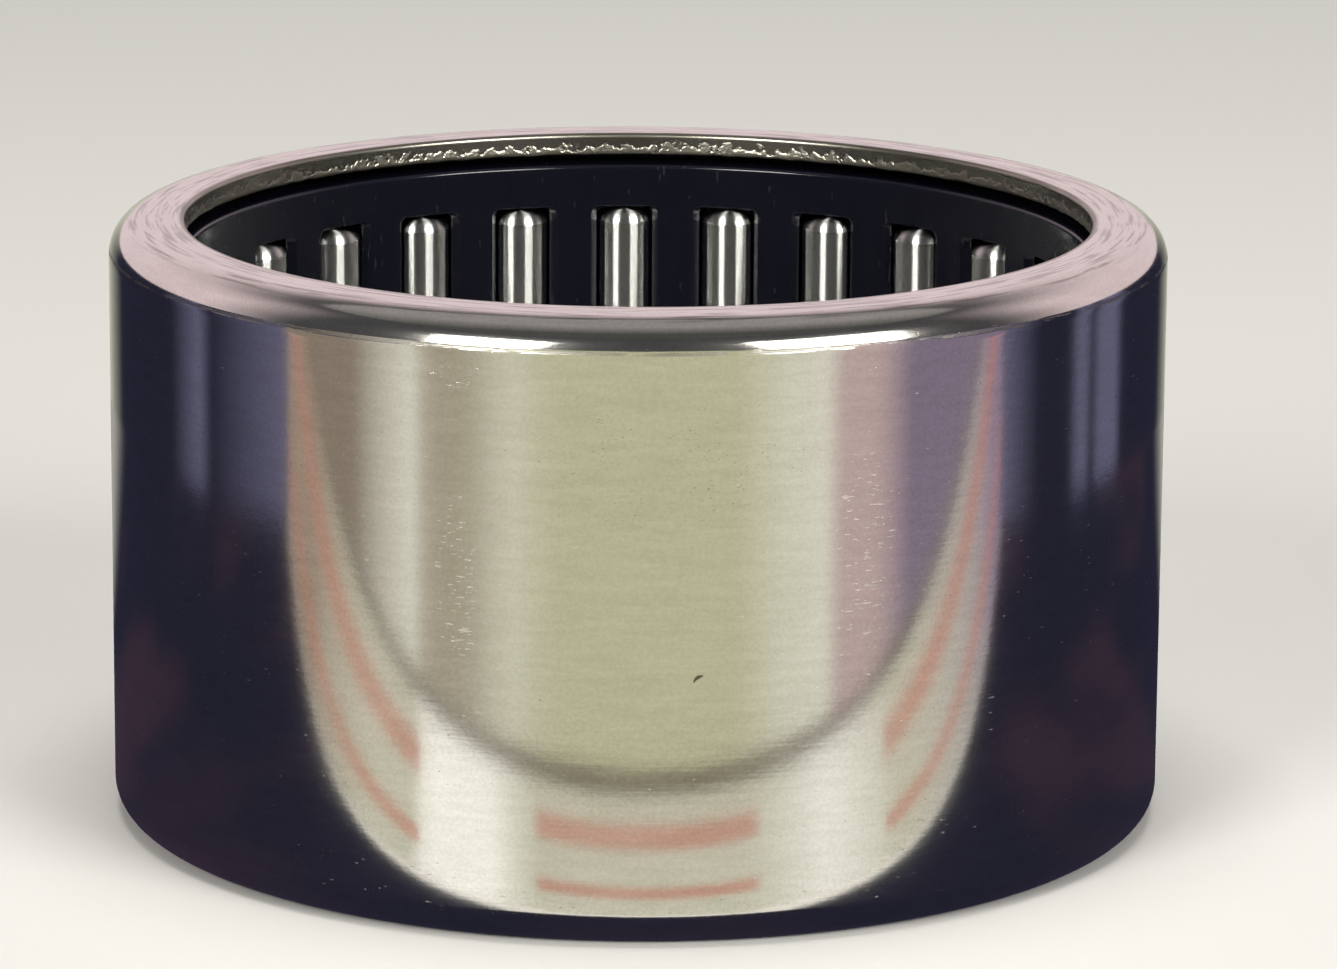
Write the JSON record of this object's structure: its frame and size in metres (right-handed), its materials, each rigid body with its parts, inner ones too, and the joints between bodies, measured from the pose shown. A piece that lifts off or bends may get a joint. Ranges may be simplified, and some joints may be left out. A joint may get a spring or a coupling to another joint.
{
  "type": "needle roller bearing",
  "caption": "Drawn cup needle roller bearing, open at both ends: thin steel cup, moulded black cage and needle rollers for a shaft in a compact housing.",
  "frame": {"origin": "centre of the cup, midway between its two end faces on the bearing's axis", "axes": "+Z along the bearing's axis, out of the rolled-over end; +Y points at needle_roller_01"},
  "size_m": [0.042, 0.042, 0.024],
  "materials": {
    "cup_steel": "bright drawn and hardened steel, satin",
    "cage_polymer": "semi-gloss moulded black",
    "roller_steel": "ground and polished"
  },
  "bodies": {
    "outer_cup": {"outer_cup": "cup_steel"},
    "cage": {"cage": "cage_polymer"},
    "needle_roller_01": {"needle_roller_01": "roller_steel"},
    "needle_roller_02": {"needle_roller_02": "roller_steel"},
    "needle_roller_03": {"needle_roller_03": "roller_steel"},
    "needle_roller_04": {"needle_roller_04": "roller_steel"},
    "needle_roller_05": {"needle_roller_05": "roller_steel"},
    "needle_roller_06": {"needle_roller_06": "roller_steel"},
    "needle_roller_07": {"needle_roller_07": "roller_steel"},
    "needle_roller_08": {"needle_roller_08": "roller_steel"},
    "needle_roller_09": {"needle_roller_09": "roller_steel"},
    "needle_roller_10": {"needle_roller_10": "roller_steel"},
    "needle_roller_11": {"needle_roller_11": "roller_steel"},
    "needle_roller_12": {"needle_roller_12": "roller_steel"},
    "needle_roller_13": {"needle_roller_13": "roller_steel"},
    "needle_roller_14": {"needle_roller_14": "roller_steel"},
    "needle_roller_15": {"needle_roller_15": "roller_steel"},
    "needle_roller_16": {"needle_roller_16": "roller_steel"},
    "needle_roller_17": {"needle_roller_17": "roller_steel"},
    "needle_roller_18": {"needle_roller_18": "roller_steel"},
    "needle_roller_19": {"needle_roller_19": "roller_steel"},
    "needle_roller_20": {"needle_roller_20": "roller_steel"},
    "needle_roller_21": {"needle_roller_21": "roller_steel"},
    "needle_roller_22": {"needle_roller_22": "roller_steel"},
    "needle_roller_23": {"needle_roller_23": "roller_steel"},
    "needle_roller_24": {"needle_roller_24": "roller_steel"},
    "needle_roller_25": {"needle_roller_25": "roller_steel"},
    "needle_roller_26": {"needle_roller_26": "roller_steel"}
  },
  "joints": [
    {"name": "cage_spin", "type": "hinge", "parent": "outer_cup", "child": "cage", "pos_m": [0, 0, 0], "axis": [0, 0, 1], "continuous": true},
    {"name": "roller_01_spin", "type": "hinge", "parent": "cage", "child": "needle_roller_01", "pos_m": [0, 0.01875, 0], "axis": [0, 0, 1], "continuous": true},
    {"name": "roller_02_spin", "type": "hinge", "parent": "cage", "child": "needle_roller_02", "pos_m": [-0.00449, 0.01821, 0], "axis": [0, 0, 1], "continuous": true},
    {"name": "roller_03_spin", "type": "hinge", "parent": "cage", "child": "needle_roller_03", "pos_m": [-0.00871, 0.0166, 0], "axis": [0, 0, 1], "continuous": true},
    {"name": "roller_04_spin", "type": "hinge", "parent": "cage", "child": "needle_roller_04", "pos_m": [-0.01243, 0.01403, 0], "axis": [0, 0, 1], "continuous": true},
    {"name": "roller_05_spin", "type": "hinge", "parent": "cage", "child": "needle_roller_05", "pos_m": [-0.01543, 0.01065, 0], "axis": [0, 0, 1], "continuous": true},
    {"name": "roller_06_spin", "type": "hinge", "parent": "cage", "child": "needle_roller_06", "pos_m": [-0.01753, 0.00665, 0], "axis": [0, 0, 1], "continuous": true},
    {"name": "roller_07_spin", "type": "hinge", "parent": "cage", "child": "needle_roller_07", "pos_m": [-0.01861, 0.00226, 0], "axis": [0, 0, 1], "continuous": true},
    {"name": "roller_08_spin", "type": "hinge", "parent": "cage", "child": "needle_roller_08", "pos_m": [-0.01861, -0.00226, 0], "axis": [0, 0, 1], "continuous": true},
    {"name": "roller_09_spin", "type": "hinge", "parent": "cage", "child": "needle_roller_09", "pos_m": [-0.01753, -0.00665, 0], "axis": [0, 0, 1], "continuous": true},
    {"name": "roller_10_spin", "type": "hinge", "parent": "cage", "child": "needle_roller_10", "pos_m": [-0.01543, -0.01065, 0], "axis": [0, 0, 1], "continuous": true},
    {"name": "roller_11_spin", "type": "hinge", "parent": "cage", "child": "needle_roller_11", "pos_m": [-0.01243, -0.01403, 0], "axis": [0, 0, 1], "continuous": true},
    {"name": "roller_12_spin", "type": "hinge", "parent": "cage", "child": "needle_roller_12", "pos_m": [-0.00871, -0.0166, 0], "axis": [0, 0, 1], "continuous": true},
    {"name": "roller_13_spin", "type": "hinge", "parent": "cage", "child": "needle_roller_13", "pos_m": [-0.00449, -0.01821, 0], "axis": [0, 0, 1], "continuous": true},
    {"name": "roller_14_spin", "type": "hinge", "parent": "cage", "child": "needle_roller_14", "pos_m": [0, -0.01875, 0], "axis": [0, 0, 1], "continuous": true},
    {"name": "roller_15_spin", "type": "hinge", "parent": "cage", "child": "needle_roller_15", "pos_m": [0.00449, -0.01821, 0], "axis": [0, 0, 1], "continuous": true},
    {"name": "roller_16_spin", "type": "hinge", "parent": "cage", "child": "needle_roller_16", "pos_m": [0.00871, -0.0166, 0], "axis": [0, 0, 1], "continuous": true},
    {"name": "roller_17_spin", "type": "hinge", "parent": "cage", "child": "needle_roller_17", "pos_m": [0.01243, -0.01403, 0], "axis": [0, 0, 1], "continuous": true},
    {"name": "roller_18_spin", "type": "hinge", "parent": "cage", "child": "needle_roller_18", "pos_m": [0.01543, -0.01065, 0], "axis": [0, 0, 1], "continuous": true},
    {"name": "roller_19_spin", "type": "hinge", "parent": "cage", "child": "needle_roller_19", "pos_m": [0.01753, -0.00665, 0], "axis": [0, 0, 1], "continuous": true},
    {"name": "roller_20_spin", "type": "hinge", "parent": "cage", "child": "needle_roller_20", "pos_m": [0.01861, -0.00226, 0], "axis": [0, 0, 1], "continuous": true},
    {"name": "roller_21_spin", "type": "hinge", "parent": "cage", "child": "needle_roller_21", "pos_m": [0.01861, 0.00226, 0], "axis": [0, 0, 1], "continuous": true},
    {"name": "roller_22_spin", "type": "hinge", "parent": "cage", "child": "needle_roller_22", "pos_m": [0.01753, 0.00665, 0], "axis": [0, 0, 1], "continuous": true},
    {"name": "roller_23_spin", "type": "hinge", "parent": "cage", "child": "needle_roller_23", "pos_m": [0.01543, 0.01065, 0], "axis": [0, 0, 1], "continuous": true},
    {"name": "roller_24_spin", "type": "hinge", "parent": "cage", "child": "needle_roller_24", "pos_m": [0.01243, 0.01403, 0], "axis": [0, 0, 1], "continuous": true},
    {"name": "roller_25_spin", "type": "hinge", "parent": "cage", "child": "needle_roller_25", "pos_m": [0.00871, 0.0166, 0], "axis": [0, 0, 1], "continuous": true},
    {"name": "roller_26_spin", "type": "hinge", "parent": "cage", "child": "needle_roller_26", "pos_m": [0.00449, 0.01821, 0], "axis": [0, 0, 1], "continuous": true}
  ],
  "couplings": [
    {"joint": "roller_01_spin", "follows": "cage_spin", "ratio": -16},
    {"joint": "roller_02_spin", "follows": "cage_spin", "ratio": -16},
    {"joint": "roller_03_spin", "follows": "cage_spin", "ratio": -16},
    {"joint": "roller_04_spin", "follows": "cage_spin", "ratio": -16},
    {"joint": "roller_05_spin", "follows": "cage_spin", "ratio": -16},
    {"joint": "roller_06_spin", "follows": "cage_spin", "ratio": -16},
    {"joint": "roller_07_spin", "follows": "cage_spin", "ratio": -16},
    {"joint": "roller_08_spin", "follows": "cage_spin", "ratio": -16},
    {"joint": "roller_09_spin", "follows": "cage_spin", "ratio": -16},
    {"joint": "roller_10_spin", "follows": "cage_spin", "ratio": -16},
    {"joint": "roller_11_spin", "follows": "cage_spin", "ratio": -16},
    {"joint": "roller_12_spin", "follows": "cage_spin", "ratio": -16},
    {"joint": "roller_13_spin", "follows": "cage_spin", "ratio": -16},
    {"joint": "roller_14_spin", "follows": "cage_spin", "ratio": -16},
    {"joint": "roller_15_spin", "follows": "cage_spin", "ratio": -16},
    {"joint": "roller_16_spin", "follows": "cage_spin", "ratio": -16},
    {"joint": "roller_17_spin", "follows": "cage_spin", "ratio": -16},
    {"joint": "roller_18_spin", "follows": "cage_spin", "ratio": -16},
    {"joint": "roller_19_spin", "follows": "cage_spin", "ratio": -16},
    {"joint": "roller_20_spin", "follows": "cage_spin", "ratio": -16},
    {"joint": "roller_21_spin", "follows": "cage_spin", "ratio": -16},
    {"joint": "roller_22_spin", "follows": "cage_spin", "ratio": -16},
    {"joint": "roller_23_spin", "follows": "cage_spin", "ratio": -16},
    {"joint": "roller_24_spin", "follows": "cage_spin", "ratio": -16},
    {"joint": "roller_25_spin", "follows": "cage_spin", "ratio": -16},
    {"joint": "roller_26_spin", "follows": "cage_spin", "ratio": -16}
  ]
}
